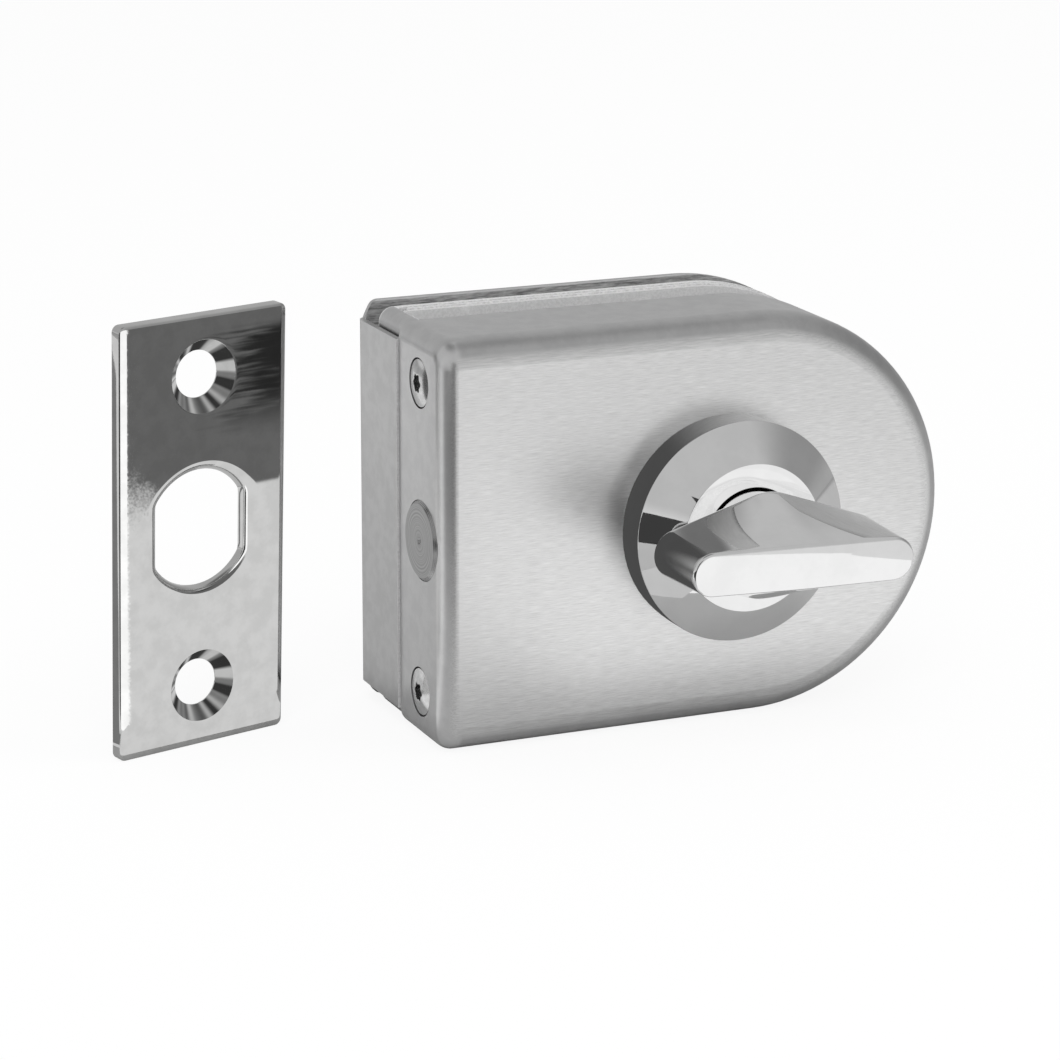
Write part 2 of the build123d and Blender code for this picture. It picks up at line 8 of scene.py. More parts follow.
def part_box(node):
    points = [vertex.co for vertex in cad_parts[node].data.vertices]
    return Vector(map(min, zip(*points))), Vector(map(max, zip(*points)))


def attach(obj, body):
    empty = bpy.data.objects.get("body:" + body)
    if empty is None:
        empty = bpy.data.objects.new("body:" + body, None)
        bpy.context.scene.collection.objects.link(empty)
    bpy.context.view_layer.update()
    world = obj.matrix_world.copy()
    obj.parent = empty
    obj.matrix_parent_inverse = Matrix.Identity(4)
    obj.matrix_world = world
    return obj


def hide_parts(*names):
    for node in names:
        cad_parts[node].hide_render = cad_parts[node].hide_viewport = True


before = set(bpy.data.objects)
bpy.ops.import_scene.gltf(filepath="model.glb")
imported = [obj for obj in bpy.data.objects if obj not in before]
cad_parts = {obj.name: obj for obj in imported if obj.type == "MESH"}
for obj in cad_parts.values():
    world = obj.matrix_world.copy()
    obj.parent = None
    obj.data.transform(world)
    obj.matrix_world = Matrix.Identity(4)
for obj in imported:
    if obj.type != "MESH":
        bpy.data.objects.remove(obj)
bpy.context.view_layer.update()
mm = 0.001

# Places on the lock, from the frame
rose_low, rose_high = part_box("rose")
wing_low, wing_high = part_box("thumbturn")
body_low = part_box("lock_body")[0]
screw_low, screw_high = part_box("edge_screws")
cover_low, cover_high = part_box("rear_cover")
front_y = rose_high.y
slot_end = -47.6 * mm
leg_back = 11.7 * mm
floor_z = body_low.z
full_turn = 2 * np.pi
quarter_turn = np.pi / 2


# Meshes

def fair(mesh, sharp):
    """Shades a mesh smooth and keeps the edges that turn by more than sharp degrees."""
    mesh.shade_smooth()
    mesh.set_sharp_from_angle(angle=radians(sharp))


def volume(points, faces):
    """Six times the signed volume of a closed mesh: the sum over its triangles of a . (b x c)."""
    total = 0.0
    for face in faces:
        for k in range(1, face.shape[1] - 1):
            a, b, c = points[face[:, 0]], points[face[:, k]], points[face[:, k + 1]]
            total += float(np.einsum("ij,ij->i", a, np.cross(b, c)).sum())
    return total


def skin(rings, ends="closed"):
    """Points and faces of a skin over rings of points, one ring a row.

    Each row is a closed ring and neighbouring rows are joined by quads. With ends "closed" each end ring is
    filled by a fan to its middle. With ends "joined" the last ring is joined to the first, as on a torus.
    """
    rows, around, _ = rings.shape
    points = rings.reshape(-1, 3)
    index = np.arange(rows * around).reshape(rows, around)
    near = index if ends == "joined" else index[:-1]
    far = np.roll(index, -1, 0) if ends == "joined" else index[1:]
    quads = np.stack([near, np.roll(near, -1, 1), np.roll(far, -1, 1), far], -1).reshape(-1, 4)
    faces = [quads]
    if ends == "closed":
        middles = np.stack([rings[0].mean(0), rings[-1].mean(0)])
        first = np.full(around, len(points))
        last = first + 1
        faces.append(np.stack([first, np.roll(index[0], -1), index[0]], -1))
        faces.append(np.stack([last, index[-1], np.roll(index[-1], -1)], -1))
        points = np.concatenate([points, middles])
    if volume(points, faces) < 0:
        faces = [face[:, ::-1] for face in faces]
    return points, faces


def piece(name, shells, finish, body, nodes, sharp):
    """A finished piece from one or more closed shells, riding on a body in place of its CAD nodes."""
    points = np.concatenate([shell[0] for shell in shells])
    starts = np.cumsum([0] + [len(shell[0]) for shell in shells])
    faces = [(face + start).tolist() for start, shell in zip(starts, shells) for face in shell[1]]
    mesh = bpy.data.meshes.new(name)
    mesh.from_pydata(points.tolist(), [], [face for group in faces for face in group])
    mesh.validate()
    fair(mesh, sharp)
    mesh.materials.append(finish)
    made = bpy.data.objects.new(name, mesh)
    bpy.context.scene.collection.objects.link(made)
    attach(made, body)
    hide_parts(*nodes)
    return made


def rounded(corners, radii, steps=8):
    """An open or closed outline through corners, each turned by an arc of its radius.

    The arc of a corner starts and ends at r / tan(angle / 2) from it, along its two sides. Its points
    are worked out as whole arrays from the angle swept about its centre. A radius of 0 keeps the corner.
    """
    corners = np.asarray(corners, float)
    line = []
    for here, before, after, radius in zip(corners, np.roll(corners, 1, 0), np.roll(corners, -1, 0), radii):
        if radius == 0:
            line.append(here[None])
            continue
        towards = (before - here) / np.linalg.norm(before - here)
        away = (after - here) / np.linalg.norm(after - here)
        half = 0.5 * np.arccos(np.clip(towards @ away, -1, 1))
        middle = (towards + away) / np.linalg.norm(towards + away)
        centre = here + middle * radius / np.sin(half)
        sweep = np.linspace(-1, 1, steps + 1) * (quarter_turn - half)
        side = away - middle * (away @ middle)
        side /= np.linalg.norm(side)
        line.append(centre - radius * (np.cos(sweep)[:, None] * middle - np.sin(sweep)[:, None] * side))
    return np.concatenate(line)


def turned(profile, around):
    """Rings of a piece turned about Y: each point of the profile, a radius and a depth, sweeps a circle."""
    angle = np.linspace(0, full_turn, around, endpoint=False)
    radius, depth = profile[:, 0, None], profile[:, 1, None]
    ring = np.ones_like(angle)
    return np.stack([radius * np.cos(angle), depth * ring, radius * np.sin(angle)], -1)


# Shader nodes

def node(tree, kind, **values):
    """A node of a tree. Values set its properties, or its inputs by name, from a number or from a socket.

    An input without a name of its own is given by its number, as in i0.
    """
    made = tree.nodes.new(kind)
    sockets = {}
    for name, value in values.items():
        if hasattr(made, name):
            setattr(made, name, value)
        else:
            sockets[name] = value
    for name, value in sockets.items():
        key = int(name[1:]) if name[0] == "i" and name[1:].isdigit() else name.replace("_", " ")
        join(tree, value, made.inputs[key])
    return made


def join(tree, value, socket):
    """Links a socket's value to an input, or sets the input to a number or a tuple."""
    if isinstance(value, bpy.types.NodeSocket):
        tree.links.new(value, socket)
    else:
        socket.default_value = value


def maths(tree, operation, first, second=0.0):
    """The result of a Math node on numbers or sockets."""
    return node(tree, "ShaderNodeMath", operation=operation, i0=first, i1=second).outputs[0]


def times(tree, first, second):
    """The product of two values."""
    return maths(tree, "MULTIPLY", first, second)


def plus(tree, first, second):
    """The sum of two values."""
    return maths(tree, "ADD", first, second)


def rest_of(tree, value):
    """What a value leaves of one."""
    return maths(tree, "SUBTRACT", 1.0, value)


def shared(tree, first, share, second):
    """Two values added together: the first times its share, and the second times what is left of one."""
    return plus(tree, times(tree, first, share), times(tree, second, 1 - share))


def swing(tree, value, reach):
    """A value from 0 to 1 made to swing about zero, by half the reach each way."""
    return times(tree, maths(tree, "SUBTRACT", value, 0.5), reach)


def vector_maths(tree, operation, first, second=(0.0, 0.0, 0.0)):
    """The result of a Vector Math node: a number for a dot product or a length, and otherwise a vector."""
    made = node(tree, "ShaderNodeVectorMath", operation=operation, i0=first, i1=second)
    return made.outputs["Value" if operation in ("DOT_PRODUCT", "LENGTH") else "Vector"]


def noise(tree, place, scale, detail, **settings):
    """The value of a noise texture at a point."""
    return node(tree, "ShaderNodeTexNoise", Vector=place, Scale=scale, Detail=detail, **settings).outputs[0]


def line_noise(tree, along, scale, detail, **settings):
    """The value of a noise texture at a distance along a line."""
    settings.update(noise_dimensions="1D", W=along, Scale=scale, Detail=detail)
    return node(tree, "ShaderNodeTexNoise", **settings).outputs[0]


def ramp(tree, value, low, high, to_low=0.0, to_high=1.0, smooth=True):
    """A value carried from one range to another, held at the ends."""
    kind = "SMOOTHSTEP" if smooth else "LINEAR"
    made = node(tree, "ShaderNodeMapRange", interpolation_type=kind, clamp=True)
    for socket, setting in zip(made.inputs, (value, low, high, to_low, to_high)):
        join(tree, setting, socket)
    return made.outputs[0]


def falling(tree, value, low, high):
    """One up to a value's low end, and nothing past its high end."""
    return ramp(tree, value, low, high, 1.0, 0.0)


def blend(tree, amount, first, second):
    """One colour or the other, by an amount from 0 to 1.

    Each is a socket, a colour of three numbers, or one number for a neutral grey.
    """
    made = node(tree, "ShaderNodeMix", data_type="RGBA", Factor=amount)
    for socket, colour in zip((made.inputs[6], made.inputs[7]), (first, second)):
        if isinstance(colour, float):
            colour = (colour, colour, colour)
        join(tree, (*colour, 1) if isinstance(colour, tuple) else colour, socket)
    return made.outputs[2]


def parts_of(tree, place):
    """The X, Y and Z of a point."""
    return node(tree, "ShaderNodeSeparateXYZ", Vector=place).outputs


# Effects that several finishes use

def effect(name, inputs, outputs):
    """An empty node group and its two end nodes.

    The inputs map each name to its usual value, or to None for a vector. Each output is a number that
    changes over the surface.
    """
    tree = bpy.data.node_groups.new(name, "ShaderNodeTree")
    for label, usual in inputs.items():
        kind = "NodeSocketVector" if usual is None else "NodeSocketFloat"
        socket = tree.interface.new_socket(label, in_out="INPUT", socket_type=kind)
        if usual is not None:
            socket.default_value = usual
    for label in outputs:
        tree.interface.new_socket(label, in_out="OUTPUT", socket_type="NodeSocketFloat")
    return tree, tree.nodes.new("NodeGroupInput"), tree.nodes.new("NodeGroupOutput")


def brushing_effect():
    """Short fine lines left by a belt: noise stretched along X, with a small share of a broader one."""
    usual = {"Vector": None, "Length": 6 * mm, "Pitch": 0.2 * mm}
    tree, start, end = effect("belt_brushing", usual, ["Lines", "Height"])
    fine_share = 0.86
    broader = (0.35, 0.3, 0.3)
    along = maths(tree, "DIVIDE", 1.0, start.outputs["Length"])
    cross = maths(tree, "DIVIDE", 1.0, start.outputs["Pitch"])
    stretch = node(tree, "ShaderNodeCombineXYZ", X=along, Y=cross, Z=cross).outputs[0]
    place = vector_maths(tree, "MULTIPLY", start.outputs["Vector"], stretch)
    fine = noise(tree, place, 1.0, 3.0, Roughness=0.65)
    broad = noise(tree, vector_maths(tree, "MULTIPLY", place, broader), 1.0, 2.0)
    both = shared(tree, fine, fine_share, broad)
    join(tree, ramp(tree, both, 0.32, 0.68, smooth=False), end.inputs["Lines"])
    join(tree, both, end.inputs["Height"])
    return tree


def mottle_effect():
    """Soft unevenness of a polished or blasted face: noise of one size, broken up by a finer one."""
    usual = {"Vector": None, "Size": 2 * mm, "Break up": 0.5}
    tree, start, end = effect("mottle", usual, ["Value", "Height"])
    finer = 5.3
    scale = maths(tree, "DIVIDE", 1.0, start.outputs["Size"])
    broad = noise(tree, start.outputs["Vector"], scale, 2.0)
    fine = noise(tree, start.outputs["Vector"], times(tree, scale, finer), 2.0)
    both = plus(tree, broad, swing(tree, fine, start.outputs["Break up"]))
    join(tree, ramp(tree, both, 0.3, 0.7), end.inputs["Value"])
    join(tree, both, end.inputs["Height"])
    return tree


def rings_effect():
    """Rings left by a turning tool: a line of noise read along the radius."""
    usual = {"Radius": 0.0, "Pitch": 0.2 * mm}
    tree, start, end = effect("turned_rings", usual, ["Value", "Height"])
    turns = maths(tree, "DIVIDE", start.outputs["Radius"], start.outputs["Pitch"])
    line = line_noise(tree, turns, 1.0, 3.0, Roughness=0.6)
    join(tree, ramp(tree, line, 0.3, 0.7), end.inputs["Value"])
    join(tree, line, end.inputs["Height"])
    return tree


def handling_effect():
    """Faint smudges where a piece is handled: broad patches of noise with ragged edges."""
    usual = {"Vector": None, "Size": 12 * mm, "Cover": 0.4}
    tree, start, end = effect("handling", usual, ["Mask"])
    edge_width = 0.2
    scale = maths(tree, "DIVIDE", 1.0, start.outputs["Size"])
    patch = noise(tree, start.outputs["Vector"], scale, 5.0, Distortion=0.4)
    edge = rest_of(tree, start.outputs["Cover"])
    join(tree, ramp(tree, patch, edge, plus(tree, edge, edge_width)), end.inputs["Mask"])
    return tree


brushing = brushing_effect()
mottle = mottle_effect()
rings = rings_effect()
handling = handling_effect()


def use(tree, group, **values):
    """A node group placed in a material with its own values. Returns its outputs."""
    made = tree.nodes.new("ShaderNodeGroup")
    made.node_tree = group
    for name, value in values.items():
        join(tree, value, made.inputs[name.replace("_", " ")])
    return made.outputs


# Finishes

def finish(name, **constants):
    """A new material, its node tree, its Principled shader and its object coordinates."""
    made = bpy.data.materials.new(name)
    made.use_nodes = True
    tree = made.node_tree
    shader = tree.nodes["Principled BSDF"]
    for label, value in constants.items():
        shader.inputs[label.replace("_", " ")].default_value = value
    place = tree.nodes.new("ShaderNodeTexCoord").outputs["Object"]
    return made, tree, shader, place


def relief(tree, shader, height, depth, strength):
    """Joins a height, from 0 to 1 over a depth in metres, to a shader as bump."""
    bump = node(tree, "ShaderNodeBump", Strength=strength, Distance=depth, Height=height)
    join(tree, bump.outputs[0], shader.inputs["Normal"])


def satin_casing():
    """Stainless casing: belt lines on the front, a finer satin on the sides, a pale blasted slot and leg,
    and a painted highlight along the spine's rounded rear edge.

    The left edge is painted a little brighter near the front: a painted highlight.
    """
    made, tree, shader, place = finish("brushed_casing_steel")
    x, y, _ = parts_of(tree, place)
    front = falling(tree, y, front_y + 0.15 * mm, front_y + 0.7 * mm)
    behind_front = ramp(tree, y, -0.4 * mm, -0.2 * mm)
    past_slot_end = ramp(tree, x, slot_end - 0.1 * mm, slot_end + 0.1 * mm)
    # Painted highlight: the rounded rear edge, left of the slot too, is painted pale like the slot and leg.
    rear_edge_highlight = ramp(tree, y, leg_back - 1.1 * mm, leg_back - 0.7 * mm)
    rear = times(tree, behind_front, maths(tree, "MAXIMUM", past_slot_end, rear_edge_highlight))
    # Painted highlight: the left front edge is painted brighter than the sides.
    left_side = falling(tree, x, body_low.x + 3.0 * mm, body_low.x + 4.0 * mm)
    near_front = falling(tree, y, front_y + 2.4 * mm, front_y + 3.2 * mm)
    corner = times(tree, left_side, near_front)
    lines = use(tree, brushing, Vector=place, Length=2.8 * mm, Pitch=0.10 * mm)
    satin = use(tree, mottle, Vector=place, Size=2.6 * mm, Break_up=0.35)
    blast = use(tree, mottle, Vector=place, Size=0.5 * mm, Break_up=0.9)
    smudge = use(tree, handling, Vector=place, Size=20 * mm, Cover=0.42)
    brushed = blend(tree, lines["Lines"], (0.66, 0.66, 0.657), (0.95, 0.95, 0.948))
    plain = blend(tree, satin["Value"], (0.57, 0.57, 0.572), 0.62)
    corner_highlight = blend(tree, satin["Value"], (0.73, 0.73, 0.732), 0.78)
    pale = blend(tree, blast["Value"], 0.60, 0.80)
    sides = blend(tree, corner, plain, corner_highlight)
    near = blend(tree, front, sides, brushed)
    join(tree, blend(tree, rear, near, pale), shader.inputs["Base Color"])
    join(tree, ramp(tree, rear, 0, 1, 1.0, 0.35), shader.inputs["Metallic"])
    worn = ramp(tree, smudge["Mask"], 0, 1, 0.33, 0.37)
    satin_rough = plus(tree, worn, times(tree, lines["Lines"], 0.05))
    join(tree, plus(tree, satin_rough, times(tree, rear, 0.14)), shader.inputs["Roughness"])
    on_front = times(tree, lines["Height"], front)
    on_sides = times(tree, satin["Height"], rest_of(tree, front))
    on_rear = times(tree, blast["Height"], rear)
    height = plus(tree, plus(tree, on_front, times(tree, on_sides, 0.35)), on_rear)
    relief(tree, shader, height, 0.012 * mm, 0.8)
    return made


def satin_cover():
    """Rear cover sheet: satin outside, dull streaks inside painted dark as shade of the gap, pale cut edges
    at its top and front, the front one a painted highlight too.
    """
    made, tree, shader, place = finish("satin_cover_steel")
    x, y, z = parts_of(tree, place)
    off_plate = falling(tree, y, cover_high.y - 0.98 * mm, cover_high.y - 0.9 * mm)
    off_flange = ramp(tree, x, cover_low.x + 0.9 * mm, cover_low.x + 0.98 * mm)
    inside = times(tree, off_plate, off_flange)
    top_edge = ramp(tree, z, cover_high.z - 0.35 * mm, cover_high.z - 0.15 * mm)
    # Painted highlight: the flange's front edge is painted pale, like the cut top edge, over the shade at
    # its joint with the casing.
    front_edge_highlight = falling(tree, y, cover_low.y + 0.1 * mm, cover_low.y + 0.2 * mm)
    cut_edges_and_highlight = maths(tree, "MAXIMUM", front_edge_highlight, times(tree, top_edge, inside))
    dull = maths(tree, "MAXIMUM", inside, cut_edges_and_highlight)
    satin = use(tree, mottle, Vector=place, Size=2.2 * mm, Break_up=0.3)
    raw = use(tree, brushing, Vector=place, Length=2.4 * mm, Pitch=0.35 * mm)
    outer = blend(tree, satin["Value"], 0.51, 0.56)
    # Painted shade: the inner face is painted dark over its raw streaks, for the shade in the gap behind the
    # leg.
    inner = blend(tree, raw["Lines"], 0.14, 0.56)
    bare = blend(tree, raw["Lines"], 0.62, 0.78)
    sides = blend(tree, inside, outer, inner)
    join(tree, blend(tree, cut_edges_and_highlight, sides, bare), shader.inputs["Base Color"])
    join(tree, ramp(tree, dull, 0, 1, 0.36, 0.55), shader.inputs["Roughness"])
    join(tree, ramp(tree, dull, 0, 1, 1.0, 0.4), shader.inputs["Metallic"])
    relief(tree, shader, satin["Height"], 0.006 * mm, 0.7)
    return made


def polished(name, dark, light, roughness, size, depth):
    """Bright polished steel or chrome: a clean mirror with faint smudges and a very soft waviness."""
    made, tree, shader, place = finish(name, Metallic=1.0)
    wave = use(tree, mottle, Vector=place, Size=size, Break_up=0.25)
    smudge = use(tree, handling, Vector=place, Size=9 * mm, Cover=0.38)
    join(tree, blend(tree, wave["Value"], dark, light), shader.inputs["Base Color"])
    join(tree, ramp(tree, smudge["Mask"], 0, 1, *roughness), shader.inputs["Roughness"])
    relief(tree, shader, wave["Height"], depth, 0.6)
    return made


def turned_bolt():
    """Ground bolt: turning rings on its end face and fine rings round its side."""
    made, tree, shader, place = finish("turned_bolt_steel", Metallic=1.0)
    low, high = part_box("bolt")
    axis = (0.0, *((low + high) / 2)[1:])
    across = vector_maths(tree, "MULTIPLY", vector_maths(tree, "SUBTRACT", place, axis), (0.0, 1.0, 1.0))
    radius = vector_maths(tree, "LENGTH", across)
    face = use(tree, rings, Radius=radius, Pitch=0.32 * mm)
    side = use(tree, rings, Radius=parts_of(tree, place)[0], Pitch=0.15 * mm)
    join(tree, blend(tree, face["Value"], 0.30, 0.46), shader.inputs["Base Color"])
    join(tree, ramp(tree, side["Value"], 0, 1, 0.24, 0.34), shader.inputs["Roughness"])
    height = plus(tree, face["Height"], times(tree, side["Height"], 0.3))
    relief(tree, shader, height, 0.02 * mm, 0.8)
    return made


def machined(name, dark, light, rough=0.32, metal=1.0, grain_size=1.2 * mm):
    """Plain machined or cast metal of the inner pieces: fine tool marks over a soft grain."""
    made, tree, shader, place = finish(name, Metallic=metal)
    marks = use(tree, brushing, Vector=place, Length=3 * mm, Pitch=0.18 * mm)
    grain = use(tree, mottle, Vector=place, Size=grain_size, Break_up=0.6)
    join(tree, blend(tree, grain["Value"], dark, light), shader.inputs["Base Color"])
    join(tree, ramp(tree, marks["Lines"], 0, 1, rough, rough + 0.12), shader.inputs["Roughness"])
    relief(tree, shader, plus(tree, marks["Height"], grain["Height"]), 0.01 * mm, 0.6)
    return made


def soft(name, dark, light, rough, grain_size, depth):
    """Rubber or moulded nylon: a fine pebbled grain with dusty patches."""
    made, tree, shader, place = finish(name, Metallic=0.0, IOR=1.5)
    grain = use(tree, mottle, Vector=place, Size=grain_size, Break_up=1.0)
    dust = use(tree, handling, Vector=place, Size=6 * mm, Cover=0.45)
    amount = shared(tree, grain["Value"], 0.6, dust["Mask"])
    join(tree, blend(tree, amount, dark, light), shader.inputs["Base Color"])
    join(tree, ramp(tree, grain["Value"], 0, 1, rough, rough + 0.15), shader.inputs["Roughness"])
    relief(tree, shader, grain["Height"], depth, 0.8)
    return made


casing = satin_casing()
cover_finish = satin_cover()
mirror = polished(
    "polished_turn_steel", 0.84, 0.88,
    roughness=(0.03, 0.07), size=6 * mm, depth=0.004 * mm,
)
chrome = polished(
    "strike_chrome", (0.60, 0.60, 0.595), (0.66, 0.66, 0.655),
    roughness=(0.05, 0.10), size=3 * mm, depth=0.006 * mm,
)
screw_steel = polished(
    "screw_head_steel", 0.62, 0.72,
    roughness=(0.16, 0.26), size=1 * mm, depth=0.004 * mm,
)
bolt_steel = turned_bolt()
steel = machined("ground_inner_steel", 0.42, 0.55)
pale_steel = machined("blasted_plate_steel", 0.62, 0.80, rough=0.48, metal=0.4, grain_size=0.6 * mm)
zinc = machined("cast_zinc_grey", (0.34, 0.35, 0.36), (0.46, 0.46, 0.47), rough=0.45)
brass = machined("bearing_brass", (0.60, 0.44, 0.20), (0.74, 0.56, 0.28), rough=0.3)
pad_sheet = soft("pale_gasket_sheet", 0.52, 0.68, rough=0.55, grain_size=0.5 * mm, depth=0.03 * mm)
nylon = soft(
    "moulded_nylon", (0.62, 0.62, 0.60), (0.74, 0.74, 0.72),
    rough=0.45, grain_size=0.4 * mm, depth=0.015 * mm,
)

finishes = {
    "lock_body": casing,
    "rear_cover": cover_finish,
    "strike_plate": chrome,
    "bolt": bolt_steel,
    "front_gasket": pad_sheet,
    "edge_pad": pad_sheet,
    "rear_pad": pad_sheet,
    "pressure_plate": pale_steel,
    "stud_sockets": nylon,
    "bolt_saddle": zinc,
    "follower": zinc,
    "front_bush": brass,
    "rear_bush": brass,
    "rose": mirror,
    "thumbturn": mirror,
    "edge_screws": screw_steel,
}
for name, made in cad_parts.items():
    made.data.materials.clear()
    made.data.materials.append(finishes.get(name, steel))


# Rose: a thin turned shell with a band, a cone and a flat face round the neck
rose_radius = rose_high.x
rose_front = rose_low.y
rose_band = front_y - 6.2 * mm
rose_flat = 12.6 * mm
rose_bore = 8.6 * mm
rose_wall = 1.5 * mm


def rose_profile():
    """Radius and depth of the rose's wall, outside from the casing to the bore and back inside."""
    outside = [
        (rose_radius, front_y),
        (rose_radius, rose_band),
        (rose_flat, rose_front),
        (rose_bore, rose_front),
    ]
    inside = [
        (rose_bore, rose_front + rose_wall),
        (rose_flat - 0.3 * mm, rose_front + rose_wall),
        (rose_radius - rose_wall, rose_band + 0.9 * mm),
        (rose_radius - rose_wall, front_y),
    ]
    outside_radii = [0.12 * mm, 0.28 * mm, 0.2 * mm, 0.2 * mm]
    return rounded(outside + inside, outside_radii + [0] * len(inside))


piece(
    "turned_rose",
    [skin(turned(rose_profile(), around=256), ends="joined")],
    mirror,
    body="lock",
    nodes=["rose"],
    sharp=20,
)


# Thumb-turn: a wing that swells from a slim flat front to a broad back, on a round neck
wing_front = wing_low.y
wing_back = wing_front + 14.5 * mm
wing_play = radians(1.5)
neck_radius = 8.3 * mm
front_rim = 0.5 * mm
back_rim = 0.8 * mm
front_section = {"end_radius": 3.65 * mm, "middle_radius": 3.67 * mm, "length": 40.0 * mm}
back_section = {"end_radius": 4.2 * mm, "middle_radius": 9.4 * mm, "length": 41.0 * mm}


def wing_outline(end_radius, middle_radius, length, inset, ends=28, flank=72):
    """Outline of the wing at one depth, as X and Z.

    Two half-round ends are joined to a round middle by straight flanks that touch both. So the height is
    the middle circle's up to the shoulder, and a straight slope from there to the end. An inset takes
    the same amount off both radii and off each end, which moves the whole outline inwards by it.
    """
    end_radius = end_radius - inset
    middle_radius = middle_radius - inset
    length = length - 2 * inset
    centre = length / 2 - end_radius
    lean = np.arcsin((middle_radius - end_radius) / centre)
    reach = centre + end_radius * np.sin(lean)
    shoulder = middle_radius * np.sin(lean)
    x = np.linspace(-reach, reach, flank, endpoint=False)
    slope = middle_radius * np.cos(lean) - (np.abs(x) - shoulder) * np.tan(lean)
    round_top = np.sqrt(np.maximum(middle_radius**2 - x**2, 0))
    z = np.where(np.abs(x) < shoulder, round_top, slope)
    sweep = np.linspace(quarter_turn - lean, lean - quarter_turn, ends, endpoint=False)
    end_x = centre + end_radius * np.cos(sweep)
    end_z = end_radius * np.sin(sweep)
    half = np.stack([np.concatenate([x, end_x]), np.concatenate([z, end_z])], -1)
    return np.concatenate([half, -half])


def wing_rings():
    """Rings of the wing from front to back: the front rim's quarter round, the ruled flank, the back rim.

    Each ring is turned about Y by the wing's play: x' = x cos a + z sin a and z' = z cos a - x sin a.
    """
    quarter = np.linspace(0, quarter_turn, 7)
    flank = np.linspace(wing_front + front_rim, wing_back - back_rim, 26)[1:-1]
    rows = [(wing_front + front_rim * (1 - np.sin(a)), front_rim * (1 - np.cos(a))) for a in quarter[::-1]]
    rows += [(y, 0.0) for y in flank]
    rows += [(wing_back - back_rim * (1 - np.sin(a)), back_rim * (1 - np.cos(a))) for a in quarter]
    made = []
    for y, inset in rows:
        share = (y - wing_front) / (wing_back - wing_front)
        slim = wing_outline(**front_section, inset=inset)
        broad = wing_outline(**back_section, inset=inset)
        x, z = ((1 - share) * slim + share * broad).T
        across = x * cos(wing_play) + z * sin(wing_play)
        upright = z * cos(wing_play) - x * sin(wing_play)
        made.append(np.stack([across, np.full_like(x, y), upright], -1))
    return np.array(made)


def neck_profile():
    """Radius and depth of the neck, from just inside the wing to its free end."""
    in_wing = 0.35 * mm
    end_round = 0.3 * mm
    end_inner = 0.2 * neck_radius
    corners = [
        (neck_radius, wing_back - in_wing),
        (neck_radius, wing_high.y),
        (end_inner, wing_high.y),
    ]
    return rounded(corners, [0, end_round, 0], steps=6)


piece(
    "thumb_turn_wing",
    [skin(wing_rings()), skin(turned(neck_profile(), around=160))],
    mirror,
    body="turn",
    nodes=["thumbturn"],
    sharp=24,
)


# Edge screws: domed heads with six-lobed sockets
screw_radius = 4.0 * mm
shank_radius = 1.95 * mm
dome_rise = 0.65 * mm
dome_edge = body_low.x + 0.1 * mm
head_back = dome_edge + 2.1 * mm
head_rim = 0.12 * mm
socket_mean = 1.47 * mm
socket_lobe = 0.17 * mm
socket_floor = [(0.45, 1.75 * mm), (0.9, 1.5 * mm)]
socket_wall = [1.2 * mm, 0.6 * mm, 0.12 * mm]
socket_lip = 0.03 * mm
wall_share = 0.99
lip_share = 1.03


def dome_at(radius):
    """X of a screw's dome at a radius: its edge less rise * (1 - (r / R) squared)."""
    return dome_edge - dome_rise * (1 - (radius / screw_radius) ** 2)


def screw_head(centre_y, centre_z):
    """Rings of one screw: socket floor and wall, dome, rim and shank, by angle about its axis.

    The socket's wall is a circle whose radius swells six times, mean + lobe * cos(6 angle). The dome is a
    parabola of the radius, and the swelling fades from the socket's mouth to the rim.
    """
    angle = np.linspace(0, full_turn, 144, endpoint=False)
    mouth = socket_mean + socket_lobe * np.cos(6 * angle)
    lip = lip_share * mouth
    dome_end = screw_radius - head_rim
    rows = [(share * mouth, dome_edge + depth) for share, depth in socket_floor]
    rows += [(wall_share * mouth, dome_at(mouth) + depth) for depth in socket_wall]
    rows += [(lip, dome_at(lip) + socket_lip)]
    for share in np.linspace(0.04, 1, 22):
        radius = lip + (dome_end - lip) * share
        rows.append((radius, dome_at(radius)))
    for a in np.linspace(0, quarter_turn, 6)[1:]:
        radius = screw_radius - head_rim * (1 - np.sin(a))
        rows.append((radius, dome_at(dome_end) + head_rim * (1 - np.cos(a))))
    rows += [(screw_radius, head_back), (shank_radius, head_back), (shank_radius, screw_high.x)]
    level = np.ones_like(angle)
    return np.array([
        np.stack([x * level, centre_y + radius * np.cos(angle), centre_z + radius * np.sin(angle)], -1)
        for radius, x in rows
    ])


screw_y = (screw_low.y + screw_high.y) / 2
screw_reach = screw_high.z - screw_radius
piece(
    "edge_screw_pair",
    [skin(screw_head(screw_y, side * screw_reach)) for side in (1, -1)],
    screw_steel,
    body="lock",
    nodes=["edge_screws"],
    sharp=28,
)


# Strike plate: the frame of its front face, from its lower left corner
strike_corner = Vector((-101.15, -1.5, -35.0)) * mm
strike_turn = radians(15.5)
strike_lean = radians(2.5)
strike_right = Vector((cos(strike_turn), sin(strike_turn), 0))
strike_out = Vector((
    sin(strike_turn) * cos(strike_lean),
    -cos(strike_turn) * cos(strike_lean),
    -sin(strike_lean),
))
strike_up = strike_out.cross(strike_right)


def on_strike(across, up, out):
    """A point given in mm across, up and out from the plate's lower left corner."""
    return strike_corner + (strike_right * across + strike_up * up + strike_out * out) * mm


